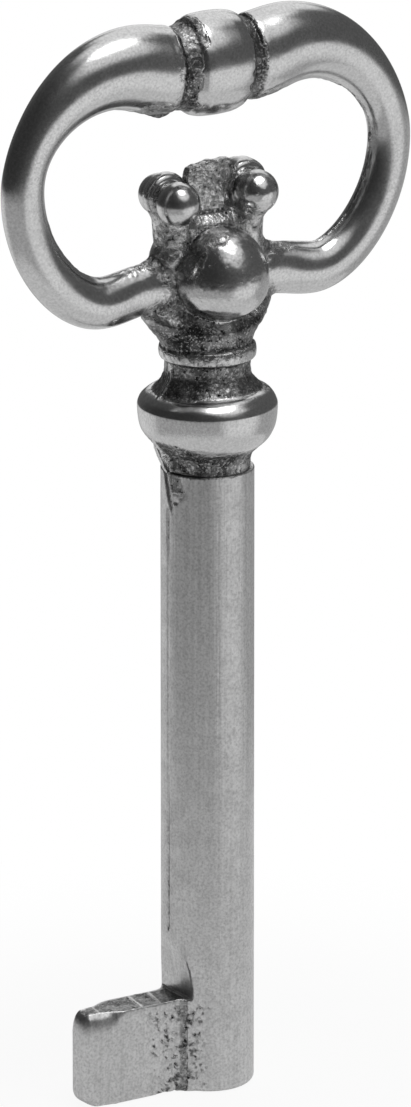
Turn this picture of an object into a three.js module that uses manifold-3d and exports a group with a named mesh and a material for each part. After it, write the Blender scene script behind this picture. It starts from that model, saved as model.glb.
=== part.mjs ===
// A furniture key: a ring bow closed by a bead, a scrolled head, a collar, a drilled round shank and a bit.
// Millimetres, +Z up. The origin is on the shank's axis in the flat end of its tip. The bow lies in the XZ
// plane, -Y is the front and the bit points to -X.
import * as THREE from "three";
import { mergeVertices } from "three/addons/utils/BufferGeometryUtils.js";
import Module from "manifold-3d";

const wasm = await Module();
wasm.setup();

// Shank
const shankDiameter = 6.5;
const shankLength = 44.8;
const tipEdgeRadius = 0.5;
const pinBoreDiameter = 3;
const pinBoreDepth = 20;

// Bit, and the milled scallop that runs out above it
const bitReach = 10.9;
const bitHeight = 6.78;
const bitRaise = 0.05;
const bitThickness = 2.7;
const bitNoseLength = 2.6;
const bitNoseTaper = 0.2;
const bitLowerCorner = 1.35;
const bitUpperCorner = 1;
const bitRootFillet = 0.7;
const tongueDepth = 0.6;
const tongueThickness = 1.8;
const tongueInset = 0.9;
const tongueRoot = 0.5;
const scallopDepth = 0.76;
const cutterRadius = 10.9;

// Collar, a turned sleeve between the shank and the head
const collarHeight = 7.2;
const collarDiameter = 9.74;
const collarNeckRadius = 3.08;
const collarLipRadius = 3.31;
const collarLipHeight = 0.15;
const collarNeckRise = 0.65;
const collarBulgeFoot = 2.35;
const collarBulgeFootRadius = 4.35;
const collarBulgeTop = 4.8;
const collarShoulderRise = 5.55;
const collarShoulderRadius = 4;
const collarRidge = 0.15;
const waistLand = 0.3;
const waistRadius = 3.05;

// Head: its tang, its ring moulding, the two domes and the levels above the collar
const tangDiameter = 3.4;
const tangReach = 6;
const mouldingRadius = 3.36;
const mouldingRise = 1.16;
const mouldingHalfHeight = 0.5;
const neckInset = 0.2;
const neckDepth = 3.15;
const headHalfWidth = 5.2;
const shoulderHalfDepth = 1.9;
const domeRadius = 3.15;
const domeRise = 6.83;
const domeOffset = 2.11;
const saddleRise = 10.85;
const saddleHalfWidth = 2.9;
const saddleHalfDepth = 0.95;
const stemRise = 9.5;
const stemHalfWidth = 3.85;
const stemHalfThickness = 1.2;
const stemHalfDepth = 1.55;
const ballRadius = 1.54;
const ballRise = 12.32;
const ballSpread = 3.24;
const ballOffset = 1.05;
const scrollRadius = 1.72;
const scrollLength = 1.5;
const leafTopRise = 14.5;
const leafHalfWidth = 2.05;
const leafFoot = 0.95;
const leafFootDepth = 0.8;
const leafShoulder = 0.65;
const leafThickness = 0.9;

// Bow: the middle line of one arm, and how thick the arm is along it
const armRise = 6.05;
const armFootRise = 5.65;
const armFootReach = 8.6;
const armSideRise = 14.25;
const armSideReach = 14.9;
const armShoulderRise = 21.95;
const armShoulderReach = 6.75;
const crownRise = 21.4;
const armCrownThickness = 6.2;
const armSlimThickness = 3.1;
const armHeadThickness = 3.6;
const armSlimShare = 0.47;
const armDepthRatio = 0.83;
const armEndRound = 0.7;
const armTenonDiameter = 2;
const armTenonLength = 2.6;

// How far each curve of the arm's middle line runs on straight from its ends, as a share of its length
const armEndPull = 0.4;
const armShoulderPull = 0.55;
const armUpperPull = 0.49;
const armLowerPull = 0.55;
const armFootPull = 0.42;

// Bead at the crown, bored for a spigot on each arm
const beadLength = 6;
const beadDiameter = 7.2;
const beadEndDiameter = 5.8;
const beadBarrel = 4.6;
const beadBarrelEnd = 6.2;
const spigotDiameter = 3;

// Fits
const fitClearance = 0.05;
const endClearance = 0.3;

// Facets
const roundSides = 40;
const armSides = 20;
const smallSides = 24;

const shankRadius = shankDiameter / 2;
const headBase = shankLength + collarHeight;
const bitTop = bitRaise + bitHeight;
const boreRadius = tangDiameter / 2 + fitClearance;

// The root fillet is tangent to the bit's face and to the round of the shank, so the flat seat of the bit
// lies where the two fillets touch the shank.
const filletCentreY = bitThickness / 2 + bitRootFillet;
const filletCentreX = Math.sqrt((shankRadius + bitRootFillet) ** 2 - filletCentreY ** 2);
const touchShare = shankRadius / (shankRadius + bitRootFillet);
const bitSeat = filletCentreX * touchShare;
const bitRootHalf = filletCentreY * touchShare;

function toSolid(geometry) {
  const plain = geometry.index ? geometry.toNonIndexed() : geometry.clone();
  plain.deleteAttribute("normal");
  plain.deleteAttribute("uv");
  const merged = mergeVertices(plain, 1e-4);
  return new wasm.Manifold(new wasm.Mesh({
    numProp: 3,
    vertProperties: Float32Array.from(merged.attributes.position.array),
    triVerts: Uint32Array.from(merged.index.array),
  }));
}

function toMesh(name, solid, material) {
  const result = solid.getMesh();
  const geometry = new THREE.BufferGeometry();
  geometry.setAttribute("position", new THREE.BufferAttribute(Float32Array.from(result.vertProperties), 3));
  geometry.setIndex(Array.from(result.triVerts));
  geometry.computeVertexNormals();
  const mesh = new THREE.Mesh(geometry, material);
  mesh.name = name;
  return mesh;
}

function union(solids) {
  return solids.reduce((whole, solid) => whole.add(solid));
}

// A round or oval rod between two places on the X axis or on the Z axis.
function rodX(radius, from, to, z, sides = smallSides) {
  const rod = new THREE.CylinderGeometry(radius, radius, Math.abs(to - from), sides);
  rod.rotateZ(Math.PI / 2);
  rod.translate((from + to) / 2, 0, z);
  return toSolid(rod);
}

function rodZ(radius, from, to, sides = smallSides) {
  const rod = new THREE.CylinderGeometry(radius, radius, to - from, sides);
  rod.rotateX(Math.PI / 2);
  rod.translate(0, 0, (from + to) / 2);
  return toSolid(rod);
}

function block(xFrom, xTo, halfDepth, zFrom, zTo) {
  const box = new THREE.BoxGeometry(xTo - xFrom, 2 * halfDepth, zTo - zFrom);
  box.translate((xFrom + xTo) / 2, 0, (zFrom + zTo) / 2);
  return toSolid(box);
}

function ball(radius, x, y, z, sides = smallSides) {
  const sphere = new THREE.SphereGeometry(radius, sides, sides / 2);
  sphere.rotateX(Math.PI / 2);
  sphere.translate(x, y, z);
  return toSolid(sphere);
}

// A turned piece about the Z axis from its [radius, height] profile, which starts and ends on the axis.
function turnedZ(profile, sides = roundSides) {
  const outline = profile.map(([radius, height]) => new THREE.Vector2(radius, height));
  const lathe = new THREE.LatheGeometry(outline, sides);
  lathe.rotateX(Math.PI / 2);
  return toSolid(lathe);
}

// A closed skin over rings of equal count, with a flat cap on the first and the last ring.
function loft(rings) {
  const count = rings[0].length;
  const points = rings.flat();
  const faces = [];
  for (let i = 0; i + 1 < rings.length; i++) {
    for (let j = 0; j < count; j++) {
      const next = (j + 1) % count;
      const [a, b] = [i * count + j, i * count + next];
      faces.push(a, b, b + count, a, b + count, a + count);
    }
  }
  const last = (rings.length - 1) * count;
  for (let j = 1; j + 1 < count; j++) {
    faces.push(0, j + 1, j);
    faces.push(last, last + j, last + j + 1);
  }
  const geometry = new THREE.BufferGeometry().setFromPoints(points);
  geometry.setIndex(faces);
  return toSolid(geometry);
}

// A level oval ring, anticlockwise seen from above, for lofts that climb in Z.
function levelRing(centreX, z, halfWidth, halfDepth, sides = smallSides) {
  return Array.from({ length: sides }, (_, j) => {
    const angle = (2 * Math.PI * j) / sides;
    return new THREE.Vector3(centreX + halfWidth * Math.cos(angle), halfDepth * Math.sin(angle), z);
  });
}

// An oval ring square to the bow's plane: `across` is the arm's in-plane normal, turned from its heading.
function armRing(centre, across, half) {
  return Array.from({ length: armSides }, (_, j) => {
    const angle = (2 * Math.PI * j) / armSides;
    const point = centre.clone().addScaledVector(across, half * Math.cos(angle));
    point.y += half * armDepthRatio * Math.sin(angle);
    return point;
  });
}

function smooth(value) {
  const t = Math.min(Math.max(value, 0), 1);
  return t * t * (3 - 2 * t);
}

// Half the in-plane thickness of an arm at a share of its length, crown to head. The crown end is rounded
// over to the end of the bead.
function armHalf(share, length) {
  const crown = smooth(1 - share / armSlimShare);
  const head = smooth((share - armSlimShare) / (1 - armSlimShare));
  const crownSwell = (armCrownThickness - armSlimThickness) * crown;
  const headSwell = (armHeadThickness - armSlimThickness) * head;
  const half = (armSlimThickness + crownSwell + headSwell) / 2;
  const rounding = Math.min((share * length) / armEndRound, 1);
  return THREE.MathUtils.lerp(beadEndDiameter / 2, half, Math.sqrt(rounding * (2 - rounding)));
}

function armLine(side) {
  const at = (x, rise) => new THREE.Vector3(side * x, 0, headBase + rise);
  const line = new THREE.CurvePath();
  const crownPull = armEndPull * (armShoulderReach - beadLength / 2);
  const shoulderPull = armShoulderPull * (armSideReach - armShoulderReach);
  const sidePullUp = armUpperPull * (armShoulderRise - armSideRise);
  const sidePullDown = armLowerPull * (armSideRise - armFootRise);
  const footPull = armFootPull * (armSideReach - armFootReach);
  const headPull = armEndPull * (armFootReach - headHalfWidth);
  line.add(new THREE.CubicBezierCurve3(
    at(beadLength / 2, crownRise), at(beadLength / 2 + crownPull, crownRise),
    at(armShoulderReach - crownPull, armShoulderRise), at(armShoulderReach, armShoulderRise)));
  line.add(new THREE.CubicBezierCurve3(
    at(armShoulderReach, armShoulderRise), at(armShoulderReach + shoulderPull, armShoulderRise),
    at(armSideReach, armSideRise + sidePullUp), at(armSideReach, armSideRise)));
  line.add(new THREE.CubicBezierCurve3(
    at(armSideReach, armSideRise), at(armSideReach, armSideRise - sidePullDown),
    at(armFootReach + footPull, armFootRise), at(armFootReach, armFootRise)));
  line.add(new THREE.CubicBezierCurve3(
    at(armFootReach, armFootRise), at(armFootReach - headPull, armFootRise),
    at(headHalfWidth + headPull, armRise), at(headHalfWidth, armRise)));
  return line;
}

function bowArm(side) {
  const line = armLine(side);
  const length = line.getLength();
  const endSteps = [0, 0.2, 0.5, 1].map((share) => (share * armEndRound) / length);
  const steps = 30;
  const bodyStart = endSteps[3];
  const bodySteps = Array.from({ length: steps }, (_, i) => bodyStart + ((1 - bodyStart) * (i + 1)) / steps);
  const rings = [...endSteps, ...bodySteps].map((share) => {
    const heading = share === 0 || share === 1 ? new THREE.Vector3(1, 0, 0) : line.getTangentAt(share);
    if (share === 0) heading.set(side, 0, 0);
    if (share === 1) heading.set(-side, 0, 0);
    const across = new THREE.Vector3(heading.z, 0, -heading.x);
    return armRing(line.getPointAt(share), across, armHalf(share, length));
  });
  const crownZ = headBase + crownRise;
  const headZ = headBase + armRise;
  const tenonEnd = headHalfWidth - armTenonLength;
  return union([
    loft(rings),
    rodX(spigotDiameter / 2, side * endClearance / 2, side * (beadLength / 2 + armEndRound), crownZ),
    rodX(armTenonDiameter / 2, side * tenonEnd, side * (headHalfWidth + armTenonDiameter), headZ),
  ]);
}

// The barrel between the two crevices, on short end necks that the arms' ends meet.
function crownBead() {
  const half = beadLength / 2;
  const barrelHalf = beadBarrel / 2;
  const swell = (beadDiameter - beadBarrelEnd) / 2;
  const steps = 10;
  const profile = [[0, -half], [beadEndDiameter / 2, -half]];
  for (let i = 0; i <= steps; i++) {
    const along = (2 * i) / steps - 1;
    profile.push([beadBarrelEnd / 2 + swell * Math.sqrt(1 - along * along), along * barrelHalf]);
  }
  profile.push([beadEndDiameter / 2, half], [0, half]);
  const outline = profile.map(([radius, x]) => new THREE.Vector2(radius, x));
  const lathe = new THREE.LatheGeometry(outline, smallSides + 4);
  lathe.rotateZ(-Math.PI / 2);
  lathe.scale(1, armDepthRatio, 1);
  lathe.translate(0, 0, headBase + crownRise);
  const bore = rodX(spigotDiameter / 2 + fitClearance, -half - 1, half + 1, headBase + crownRise);
  return toSolid(lathe).subtract(bore);
}

// Half the width and depth of the head's body at a rise: its neck flares into the arms, and its shoulders
// draw in to the stems.
function headSection(rise) {
  const neckTop = mouldingRise + mouldingHalfHeight;
  const armFoot = armRise - armHeadThickness / 2;
  const neckWidth = mouldingRadius - neckInset;
  const widest = headHalfWidth - fitClearance;
  const flare = smooth((rise - neckTop) / (armFoot - neckTop));
  const drawIn = smooth((rise - armRise) / (stemRise - armRise));
  const halfWidth = neckWidth + (widest - neckWidth) * flare - (widest - stemHalfWidth) * drawIn;
  const thinning = smooth((rise - (neckTop + armFoot) / 2) / (armRise - (neckTop + armFoot) / 2));
  return [rise, halfWidth, neckDepth + (shoulderHalfDepth - neckDepth) * thinning];
}

// The head's round-to-oval body, from the waist and the ring moulding up to the saddle between the stems.
function headCore() {
  const neckTop = mouldingRise + mouldingHalfHeight;
  const steps = 12;
  const body = Array.from({ length: steps }, (_, i) =>
    headSection(neckTop + ((stemRise + mouldingHalfHeight - neckTop) * i) / (steps - 1)));
  const sections = [
    [0, waistRadius, waistRadius],
    [mouldingRise - mouldingHalfHeight, waistRadius, waistRadius],
    [mouldingRise - mouldingHalfHeight / 2, mouldingRadius, mouldingRadius],
    [mouldingRise + mouldingHalfHeight / 2, mouldingRadius, mouldingRadius],
    ...body,
    [saddleRise, saddleHalfWidth, saddleHalfDepth],
  ];
  return loft(sections.map(([rise, halfWidth, halfDepth]) =>
    levelRing(0, headBase + rise, halfWidth, halfDepth, roundSides - 8)));
}

// One of the two stems that lean out of the head and end in a ball at the front and a ball at the back, on
// the two ends of a roll.
function scrollStem(side) {
  const centre = side * ballSpread;
  const top = headBase + ballRise;
  const foot = side * (stemHalfWidth - stemHalfThickness);
  const ring = (x, z) => levelRing(x, z, stemHalfThickness, stemHalfDepth, armSides - 4);
  const stemZ = headBase + stemRise;
  const stem = loft([
    ring(foot, stemZ - stemHalfThickness), ring(foot, stemZ + stemHalfThickness / 2), ring(centre, top)]);
  const balls = [-1, 1].map((face) => ball(ballRadius, centre, face * ballOffset, top, armSides));
  const roll = new THREE.CylinderGeometry(scrollRadius, scrollRadius, scrollLength, armSides);
  roll.translate(centre, 0, top);
  return union([stem, ...balls, toSolid(roll)]);
}

// The fan-shaped leaf that stands between the stems in the bow's plane.
function leaf() {
  const foot = headBase + saddleRise - leafFootDepth;
  const top = headBase + leafTopRise;
  const corner = top - leafShoulder;
  const waist = (foot + corner) / 2;
  const outline = new THREE.Shape();
  outline.moveTo(-leafFoot, foot);
  outline.lineTo(leafFoot, foot);
  outline.quadraticCurveTo(leafFoot, waist, leafHalfWidth, corner);
  outline.quadraticCurveTo(leafHalfWidth - leafShoulder, top, 0, top);
  outline.quadraticCurveTo(-leafHalfWidth + leafShoulder, top, -leafHalfWidth, corner);
  outline.quadraticCurveTo(-leafFoot, waist, -leafFoot, foot);
  const flat = { depth: leafThickness, bevelEnabled: false, curveSegments: 5 };
  const plate = new THREE.ExtrudeGeometry(outline, flat);
  plate.rotateX(Math.PI / 2);
  plate.translate(0, leafThickness / 2, 0);
  return toSolid(plate);
}

function bowHead() {
  const armZ = headBase + armRise;
  const upward = new THREE.Vector3(0, 0, 1);
  const padRing = (x) => armRing(new THREE.Vector3(x, 0, armZ), upward, armHeadThickness / 2);
  const body = union([
    headCore(),
    loft([padRing(headHalfWidth), padRing(-headHalfWidth)]),
    ...[-1, 1].map((face) => ball(domeRadius, 0, face * domeOffset, headBase + domeRise, roundSides - 8)),
    ...[-1, 1].map(scrollStem),
    leaf(),
    rodZ(tangDiameter / 2, shankLength - tangReach, headBase + mouldingRise),
  ]);
  const socket = armTenonDiameter / 2 + fitClearance;
  const sockets = [-1, 1].map((side) =>
    rodX(socket, side * (headHalfWidth - armTenonLength - endClearance), side * (headHalfWidth + 1), armZ));
  return body.subtract(union(sockets));
}

// The turned sleeve: a lip on the shank, a cove, the bulge, a ridge on its shoulder and the waist.
function collar() {
  const rise = (height) => shankLength + height;
  const widest = collarDiameter / 2;
  const bulge = (collarBulgeTop - collarBulgeFoot) / 3;
  const cove = (collarBulgeFoot - collarNeckRise) / 3;
  const shoulder = (collarShoulderRise - collarBulgeTop) / 2;
  const waistRise = collarHeight - waistLand;
  const waist = (waistRise - collarShoulderRise) / 3;
  const ridgeRadius = collarShoulderRadius - collarRidge;
  const outline = new THREE.Path();
  outline.moveTo(0, rise(0));
  outline.lineTo(collarLipRadius, rise(0));
  outline.lineTo(collarLipRadius, rise(collarLipHeight));
  outline.quadraticCurveTo(collarNeckRadius, rise(collarLipHeight), collarNeckRadius, rise(collarNeckRise));
  outline.bezierCurveTo(collarNeckRadius, rise(collarNeckRise + cove), collarBulgeFootRadius - cove,
    rise(collarBulgeFoot - cove), collarBulgeFootRadius, rise(collarBulgeFoot));
  outline.quadraticCurveTo(widest, rise(collarBulgeFoot + bulge), widest, rise(collarBulgeTop - bulge));
  outline.bezierCurveTo(widest, rise(collarBulgeTop), collarShoulderRadius + shoulder,
    rise(collarShoulderRise - shoulder / 2), collarShoulderRadius, rise(collarShoulderRise));
  outline.lineTo(ridgeRadius, rise(collarShoulderRise + collarRidge / 2));
  outline.bezierCurveTo(ridgeRadius - waist, rise(collarShoulderRise + waist), waistRadius,
    rise(waistRise - waist), waistRadius, rise(waistRise));
  outline.lineTo(waistRadius, headBase);
  outline.lineTo(0, headBase);
  const profile = outline.getPoints(6).map((point) => [point.x, point.y]);
  return turnedZ(profile).subtract(rodZ(boreRadius, shankLength - 1, headBase + 1));
}

// The half-round path of the cutter that faced the bit's top and ran out up the shank.
function scallopCut() {
  const centreX = scallopDepth - shankRadius - cutterRadius;
  const outline = new THREE.Shape();
  outline.moveTo(centreX, bitTop);
  outline.absarc(centreX, bitTop, cutterRadius, 0, Math.PI / 3);
  outline.closePath();
  const through = { depth: shankDiameter + 2, bevelEnabled: false, curveSegments: 24 };
  const cut = new THREE.ExtrudeGeometry(outline, through);
  cut.rotateX(Math.PI / 2);
  cut.translate(0, shankRadius + 1, 0);
  return toSolid(cut);
}

function tongue(clearance) {
  const from = -(bitSeat - tongueDepth - clearance);
  return block(-bitSeat - tongueRoot, from, tongueThickness / 2 + clearance,
    bitRaise + tongueInset - clearance, bitTop - tongueInset + clearance);
}

function shank() {
  const profile = [[0, 0], [shankRadius - tipEdgeRadius, 0]];
  const steps = 4;
  for (let i = 1; i <= steps; i++) {
    const angle = (Math.PI / 2) * (i / steps);
    const inset = tipEdgeRadius * (1 - Math.sin(angle));
    profile.push([shankRadius - inset, tipEdgeRadius * (1 - Math.cos(angle))]);
  }
  profile.push([shankRadius, shankLength], [0, shankLength]);
  const seatCut = block(-shankDiameter, -bitSeat, shankDiameter, -1, bitTop);
  return turnedZ(profile)
    .subtract(rodZ(pinBoreDiameter / 2, -1, pinBoreDepth))
    .subtract(rodZ(boreRadius, shankLength - tangReach - endClearance, shankLength + 1))
    .subtract(seatCut)
    .subtract(scallopCut())
    .subtract(tongue(fitClearance));
}

// The bit's plan: parallel faces, a rounded nose and the flared root that sits on the shank's flat.
function bitPlan() {
  const half = bitThickness / 2;
  const bend = bitReach - bitNoseLength;
  const noseMiddle = -bend - bitNoseLength / 2;
  const plan = new THREE.Shape();
  plan.moveTo(-bitSeat, bitRootHalf);
  const rootStart = Math.atan2(filletCentreY - bitRootHalf, filletCentreX - bitSeat);
  plan.absarc(-filletCentreX, filletCentreY, bitRootFillet, -rootStart, -Math.PI / 2, true);
  plan.lineTo(-bend, half);
  plan.bezierCurveTo(noseMiddle, half - bitNoseTaper, -bitReach, half, -bitReach, 0);
  plan.bezierCurveTo(-bitReach, -half, noseMiddle, bitNoseTaper - half, -bend, -half);
  plan.lineTo(-filletCentreX, -half);
  plan.absarc(-filletCentreX, -filletCentreY, bitRootFillet, Math.PI / 2, rootStart, true);
  plan.closePath();
  return plan;
}

// The bit's side view, with its two outer corners rounded.
function bitSide() {
  const side = new THREE.Shape();
  side.moveTo(-bitSeat, bitRaise);
  side.lineTo(-bitSeat, bitTop);
  side.lineTo(-bitReach + bitUpperCorner, bitTop);
  const upper = { x: -bitReach + bitUpperCorner, y: bitTop - bitUpperCorner };
  const lower = { x: -bitReach + bitLowerCorner, y: bitRaise + bitLowerCorner };
  side.absarc(upper.x, upper.y, bitUpperCorner, Math.PI / 2, Math.PI, false);
  side.lineTo(-bitReach, lower.y);
  side.absarc(lower.x, lower.y, bitLowerCorner, Math.PI, 1.5 * Math.PI, false);
  side.closePath();
  return side;
}

function bit() {
  const upright = { depth: bitTop + 2, bevelEnabled: false, curveSegments: 8 };
  const tall = new THREE.ExtrudeGeometry(bitPlan(), upright);
  tall.translate(0, 0, -1);
  const across = { depth: 2 * shankDiameter, bevelEnabled: false, curveSegments: 6 };
  const wide = new THREE.ExtrudeGeometry(bitSide(), across);
  wide.rotateX(Math.PI / 2);
  wide.translate(0, shankDiameter, 0);
  return toSolid(tall).intersect(toSolid(wide)).add(tongue(0));
}

const polished = new THREE.MeshStandardMaterial({ color: 0x9a9896, metalness: 1, roughness: 0.22 });
const cast = new THREE.MeshStandardMaterial({ color: 0x858381, metalness: 1, roughness: 0.34 });
const satin = new THREE.MeshStandardMaterial({ color: 0xa3a19e, metalness: 1, roughness: 0.42 });

const group = new THREE.Group();
group.add(
  toMesh("shank", shank(), satin),
  toMesh("bit", bit(), satin),
  toMesh("collar", collar(), polished),
  toMesh("bow_head", bowHead(), cast),
  toMesh("left_bow_arm", bowArm(-1), polished),
  toMesh("right_bow_arm", bowArm(1), polished),
  toMesh("crown_bead", crownBead(), polished),
);

export default group;
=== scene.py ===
"""The looks of a cast steel furniture key: its bow, bead, head, collar, shank and bit, as metal showing wear,
with some shade and highlights painted into its colour.
"""

import math

import bmesh
import bpy
import numpy as np
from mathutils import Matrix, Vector


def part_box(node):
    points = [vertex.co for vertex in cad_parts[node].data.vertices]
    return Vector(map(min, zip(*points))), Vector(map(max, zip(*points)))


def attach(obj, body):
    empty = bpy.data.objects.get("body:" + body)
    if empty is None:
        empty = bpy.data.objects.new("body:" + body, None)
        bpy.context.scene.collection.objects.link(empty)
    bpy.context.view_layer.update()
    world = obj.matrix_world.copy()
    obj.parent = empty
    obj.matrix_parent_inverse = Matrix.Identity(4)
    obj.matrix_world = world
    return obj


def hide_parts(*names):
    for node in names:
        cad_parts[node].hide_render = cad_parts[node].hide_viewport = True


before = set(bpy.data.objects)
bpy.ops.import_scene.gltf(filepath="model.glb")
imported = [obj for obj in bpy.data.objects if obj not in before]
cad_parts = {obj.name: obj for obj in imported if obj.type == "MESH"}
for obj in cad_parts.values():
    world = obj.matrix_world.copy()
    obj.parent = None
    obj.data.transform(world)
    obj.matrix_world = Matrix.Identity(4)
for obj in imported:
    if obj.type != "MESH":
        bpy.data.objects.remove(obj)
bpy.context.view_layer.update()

MM = 0.001
BODY = "root"


def node_box(name):
    """The lowest and highest corners of a node, in millimetres."""
    low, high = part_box(name)
    return np.array(low) / MM, np.array(high) / MM


# Levels and widths read from the frame, in millimetres.
collar_low, collar_high = node_box("collar")
bead_low, bead_high = node_box("crown_bead")
bit_low, bit_high = node_box("bit")

SHANK_RADIUS = node_box("shank")[1][0]
SHANK_TOP = collar_low[2]
HEAD_FOOT = collar_high[2]
HEAD_HALF = 5.2
BEAD_HALF = bead_high[0]
CROWN_Z = (bead_low[2] + bead_high[2]) / 2
BIT_TOP = bit_high[2]
BIT_FOOT = bit_low[2]
BIT_END = bit_low[0]
BIT_SEAT = -2.778

# Proportions of the bow, in millimetres: (distance from the axis, rise above the head's foot) and thicknesses.
ARM_HEAD = (HEAD_HALF, 6.05)
ARM_FOOT = (8.6, 5.65)
ARM_SIDE = (14.9, 14.25)
ARM_SHOULDER = (6.75, 21.95)
ARM_CROWN_THICK = 6.2
ARM_SLIM_THICK = 3.1
ARM_HEAD_THICK = 3.6
ARM_SLIM_SHARE = 0.47
ARM_DEPTH_RATIO = 0.83
ARM_END_HALF = 2.75
ARM_END_ROUND = 0.7


# ---- Numbers over points ----


def smooth(low, high, value):
    """0 below low, 1 above high, with an eased step between."""
    t = np.clip((value - low) / (high - low), 0, 1)
    return t * t * (3 - 2 * t)


def lattice(cell, seed):
    """A repeatable number from -1 to 1 for each whole-number cell."""
    x, y, z = cell.T
    mixed = (x * 374761393 + y * 668265263 + z * 1442695041 + seed * 974711) & 0xFFFFFFFF
    mixed = ((mixed ^ (mixed >> 13)) * 1274126177) & 0xFFFFFFFF
    return ((mixed ^ (mixed >> 16)) & 0xFFFFFF) / 0x7FFFFF - 1.0


def noise(points, size, seed):
    """Smooth noise from -1 to 1 with grains of about the given size in millimetres."""
    scaled = points / size
    floor = np.floor(scaled)
    part = scaled - floor
    part = part * part * (3 - 2 * part)
    cell = floor.astype(np.int64)
    total = np.zeros(len(points))
    for corner in range(8):
        step = np.array([corner & 1, (corner >> 1) & 1, (corner >> 2) & 1])
        weight = np.prod(np.where(step, part, 1 - part), axis=1)
        total += weight * lattice(cell + step, seed)
    return total


def through(stations, at, column=1):
    """A smooth curve through rows of (place, value, ...), read at the given places."""
    table = np.array(stations, float)
    places, values = table[:, 0], table[:, column]
    steps = np.diff(values) / np.diff(places)
    slopes = np.zeros(len(places))
    inner = steps[:-1] * steps[1:] > 0
    slopes[1:-1][inner] = 2 * steps[:-1][inner] * steps[1:][inner] / (steps[:-1] + steps[1:])[inner]
    fine = np.linspace(places[0], places[-1], 400)
    i = np.clip(np.searchsorted(places, fine) - 1, 0, len(places) - 2)
    gap = places[i + 1] - places[i]
    t = (fine - places[i]) / gap
    curve = (
        (2 * t**3 - 3 * t**2 + 1) * values[i]
        + (t**3 - 2 * t**2 + t) * gap * slopes[i]
        + (3 * t**2 - 2 * t**3) * values[i + 1]
        + (t**3 - t**2) * gap * slopes[i + 1]
    )
    return np.interp(at, fine, curve)


def hump(value, centre, width, power=2):
    """1 at the centre, falling off to nothing over the width."""
    return np.exp(-(((value - centre) / width) ** power))


# ---- Forms: (distance to the skin, negative inside; how rough the casting is there, 0 to 1, which also sets how dark the steel is drawn, in places as painted shade and painted highlights) ----


def join(a, b, fillet, crease=0.0, reach=0.35):
    """Two forms as one, with a fillet between them, and a rough crease where they meet, drawn darker: partly
    rough cast skin, partly painted shade in the crease.
    """
    gap = a[0] - b[0]
    share = np.clip(0.5 + 0.5 * gap / fillet, 0, 1)
    distance = a[0] * (1 - share) + b[0] * share - fillet * share * (1 - share)
    rough = a[1] * (1 - share) + b[1] * share
    # The crease's roughness also darkens its colour: painted shade in the crease, besides its cast skin.
    if crease:
        rough = np.maximum(rough, crease * hump(gap, 0, reach) * (np.abs(distance) < 0.6))
    return distance, rough


def common(a, b, edge):
    """The distance to what two distances have in common, its edge rounded over."""
    share = np.clip(0.5 + 0.5 * (b - a) / edge, 0, 1)
    return a * (1 - share) + b * share + edge * share * (1 - share)


def rounded(a, b, corner):
    """The distance to what two distances have in common, with a true round of that radius at the corner."""
    outside = np.hypot(np.maximum(a + corner, 0), np.maximum(b + corner, 0))
    return np.minimum(np.maximum(a, b) + corner, 0) + outside - corner


def oval(across, half_across, deep, half_deep):
    """The distance to an oval's edge, for offsets across and deep and the oval's two half sizes."""
    reach = np.sqrt((across / half_across) ** 2 + (deep / half_deep) ** 2)
    slope = np.sqrt((across / half_across**2) ** 2 + (deep / half_deep**2) ** 2) + 1e-6
    return np.where(reach < 0.4, (reach - 1) * half_deep, (reach - 1) * reach / slope)


def ball(p, centre, radius):
    """A polished ball."""
    return np.linalg.norm(p - np.array(centre), axis=1) - radius, np.zeros(len(p))


def rod(p, foot, foot_radius, top, top_radius, rough, depth=1.0):
    """A tapered round-ended rod, widened front to back by depth."""
    shape = np.array([1, 1 / depth, 1])
    spot, start, end = p * shape, np.array(foot) * shape, np.array(top) * shape
    along = end - start
    share = np.clip((spot - start) @ along / (along @ along), 0, 1)
    radius = foot_radius + (top_radius - foot_radius) * share
    distance = np.linalg.norm(spot - start - share[:, None] * along, axis=1) - radius
    return distance, np.full(len(p), float(rough))


def bezier(a, b, c, d, count):
    """Points along a curve from a to d that is pulled towards b and c, without d itself."""
    t = np.linspace(0, 1, count, endpoint=False)[:, None]
    a, b, c, d = (np.array(q, float) for q in (a, b, c, d))
    return (1 - t) ** 3 * a + 3 * (1 - t) ** 2 * t * b + 3 * (1 - t) * t**2 * c + t**3 * d


def arm_line():
    """The middle line of the right arm in the bow's plane, from inside the bead to inside the head."""
    crown, shoulder = (BEAD_HALF, CROWN_Z), (ARM_SHOULDER[0], HEAD_FOOT + ARM_SHOULDER[1])
    side, foot = (ARM_SIDE[0], HEAD_FOOT + ARM_SIDE[1]), (ARM_FOOT[0], HEAD_FOOT + ARM_FOOT[1])
    head = (ARM_HEAD[0], HEAD_FOOT + ARM_HEAD[1])
    crown_pull, head_pull = (shoulder[0] - crown[0]) / 2.5, (foot[0] - head[0]) / 2.5
    over = 0.55 * (side[0] - shoulder[0])
    rise, fall = 0.49 * (shoulder[1] - side[1]), 0.55 * (side[1] - foot[1])
    under = 0.42 * (side[0] - foot[0])
    parts = [
        np.array([[1.0, crown[1]]]),
        bezier(crown, (crown[0] + crown_pull, crown[1]), (shoulder[0] - crown_pull, shoulder[1]), shoulder, 60),
        bezier(shoulder, (shoulder[0] + over, shoulder[1]), (side[0], side[1] + rise), side, 180),
        bezier(side, (side[0], side[1] - fall), (foot[0] + under, foot[1]), foot, 180),
        bezier(foot, (foot[0] - head_pull, foot[1]), (head[0] + head_pull, head[1]), head, 50),
        np.array([head, [head[0] - 2.2, head[1] + 0.1]]),
    ]
    return np.concatenate(parts)


ARM_LINE = arm_line()
ARM_RUN = np.concatenate([[0], np.cumsum(np.linalg.norm(np.diff(ARM_LINE, axis=0), axis=1))])
ARM_START = ARM_RUN[1]
ARM_LENGTH = ARM_RUN[-2] - ARM_START
ARM_HEADING = np.gradient(ARM_LINE, ARM_RUN, axis=0)
ARM_HEADING /= np.linalg.norm(ARM_HEADING, axis=1)[:, None]
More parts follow.
